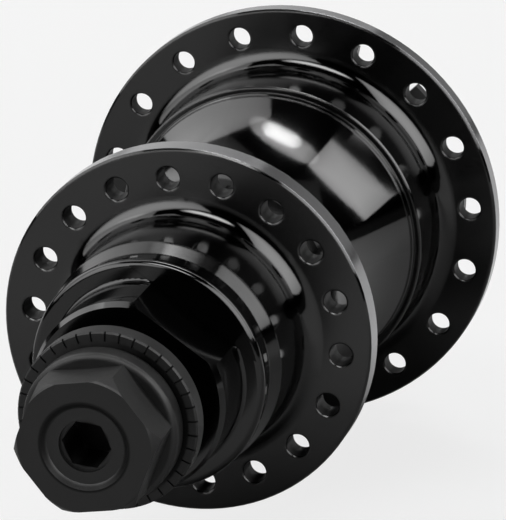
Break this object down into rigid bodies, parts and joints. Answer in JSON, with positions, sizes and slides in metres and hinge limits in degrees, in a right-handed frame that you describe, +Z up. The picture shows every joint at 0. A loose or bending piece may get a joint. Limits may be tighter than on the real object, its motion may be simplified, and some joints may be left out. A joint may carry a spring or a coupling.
{
  "type": "bicycle rear hub",
  "caption": "Rear bicycle hub with drilled flanges, a bell-shaped shell, cartridge bearings, a pawl-driven cog driver and a hollow axle closed by flanged bolts.",
  "frame": {"origin": "middle of the axle, halfway between the two lock faces, on the axle's centre line", "axes": "+Y along the axle towards the driven end, +Z up, +X to the right seen from the plain end"},
  "size_m": [0.0546, 0.127, 0.0546],
  "materials": {
    "shell_black": "polished black anodised",
    "cap_black": "satin black anodised, with polished flats",
    "washer_steel": "black oxide, matte",
    "bolt_steel": "black oxide, matte",
    "driver_steel": "black oxide, satin",
    "ratchet_steel": "ground",
    "pawl_steel": "ground",
    "spring_steel": "rolled",
    "clip_steel": "blued",
    "race_steel": "ground",
    "ball_steel": "polished",
    "cage_brass": "pressed",
    "shield_rubber": "moulded",
    "seal_rubber": "moulded",
    "axle_steel": "turned",
    "spacer_alloy": "turned"
  },
  "bodies": {
    "axle_assembly": {"axle": "axle_steel", "barrel_spacer": "spacer_alloy", "clutch_spacer": "spacer_alloy", "driver_spacer": "spacer_alloy", "plain_end_cap": "cap_black", "plain_lock_washer": "washer_steel", "plain_axle_bolt": "bolt_steel", "drive_end_cap": "cap_black", "drive_lock_washer": "washer_steel", "drive_axle_bolt": "bolt_steel", "plain_bearing_inner_race": "race_steel", "inner_bearing_inner_race": "race_steel", "driver_inner_bearing_inner_race": "race_steel", "driver_outer_bearing_inner_race": "race_steel"},
    "shell": {"hub_shell": "shell_black", "plain_dust_seal": "seal_rubber", "driver_seal": "seal_rubber", "ratchet_ring": "ratchet_steel", "ratchet_circlip": "clip_steel", "plain_bearing_outer_race": "race_steel", "plain_bearing_shields": "shield_rubber", "inner_bearing_outer_race": "race_steel", "inner_bearing_shields": "shield_rubber"},
    "driver_assembly": {"driver": "driver_steel", "driver_circlip": "clip_steel", "race_spacer": "spacer_alloy", "pawl_spring_1": "spring_steel", "pawl_spring_2": "spring_steel", "pawl_spring_3": "spring_steel", "driver_inner_bearing_outer_race": "race_steel", "driver_inner_bearing_shields": "shield_rubber", "driver_outer_bearing_outer_race": "race_steel", "driver_outer_bearing_shields": "shield_rubber"},
    "pawl_body_1": {"pawl_1": "pawl_steel"},
    "pawl_body_2": {"pawl_2": "pawl_steel"},
    "pawl_body_3": {"pawl_3": "pawl_steel"},
    "plain_bearing_ball_set": {"plain_bearing_balls": "ball_steel", "plain_bearing_cage": "cage_brass"},
    "inner_bearing_ball_set": {"inner_bearing_balls": "ball_steel", "inner_bearing_cage": "cage_brass"},
    "driver_inner_bearing_ball_set": {"driver_inner_bearing_balls": "ball_steel", "driver_inner_bearing_cage": "cage_brass"},
    "driver_outer_bearing_ball_set": {"driver_outer_bearing_balls": "ball_steel", "driver_outer_bearing_cage": "cage_brass"}
  },
  "joints": [
    {"name": "shell_spin", "type": "hinge", "parent": "axle_assembly", "child": "shell", "pos_m": [0, 0, 0], "axis": [0, 1, 0], "continuous": true},
    {"name": "driver_freewheel", "type": "hinge", "parent": "shell", "child": "driver_assembly", "pos_m": [0, 0.028, 0], "axis": [0, 1, 0], "continuous": true},
    {"name": "pawl_fold_1", "type": "hinge", "parent": "driver_assembly", "child": "pawl_body_1", "pos_m": [0.01215, 0.0185, 0], "axis": [0, 1, 0], "range_deg": [0, 12], "stiffness_Nm_per_rad": 0.002, "springref_deg": -5.73},
    {"name": "pawl_fold_2", "type": "hinge", "parent": "driver_assembly", "child": "pawl_body_2", "pos_m": [-0.00607, 0.0185, -0.01052], "axis": [0, 1, 0], "range_deg": [0, 12], "stiffness_Nm_per_rad": 0.002, "springref_deg": -5.73},
    {"name": "pawl_fold_3", "type": "hinge", "parent": "driver_assembly", "child": "pawl_body_3", "pos_m": [-0.00607, 0.0185, 0.01052], "axis": [0, 1, 0], "range_deg": [0, 12], "stiffness_Nm_per_rad": 0.002, "springref_deg": -5.73},
    {"name": "plain_bearing_roll", "type": "hinge", "parent": "axle_assembly", "child": "plain_bearing_ball_set", "pos_m": [0, 0, 0], "axis": [0, 1, 0], "continuous": true},
    {"name": "inner_bearing_roll", "type": "hinge", "parent": "axle_assembly", "child": "inner_bearing_ball_set", "pos_m": [0, 0, 0], "axis": [0, 1, 0], "continuous": true},
    {"name": "driver_inner_bearing_roll", "type": "hinge", "parent": "axle_assembly", "child": "driver_inner_bearing_ball_set", "pos_m": [0, 0, 0], "axis": [0, 1, 0], "continuous": true},
    {"name": "driver_outer_bearing_roll", "type": "hinge", "parent": "axle_assembly", "child": "driver_outer_bearing_ball_set", "pos_m": [0, 0, 0], "axis": [0, 1, 0], "continuous": true}
  ],
  "couplings": [
    {"joint": "plain_bearing_roll", "follows": "shell_spin", "ratio": 0.56154},
    {"joint": "inner_bearing_roll", "follows": "shell_spin", "ratio": 0.56154},
    {"joint": "driver_inner_bearing_roll", "follows": "shell_spin", "ratio": 0.56154},
    {"joint": "driver_outer_bearing_roll", "follows": "shell_spin", "ratio": 0.56154}
  ]
}
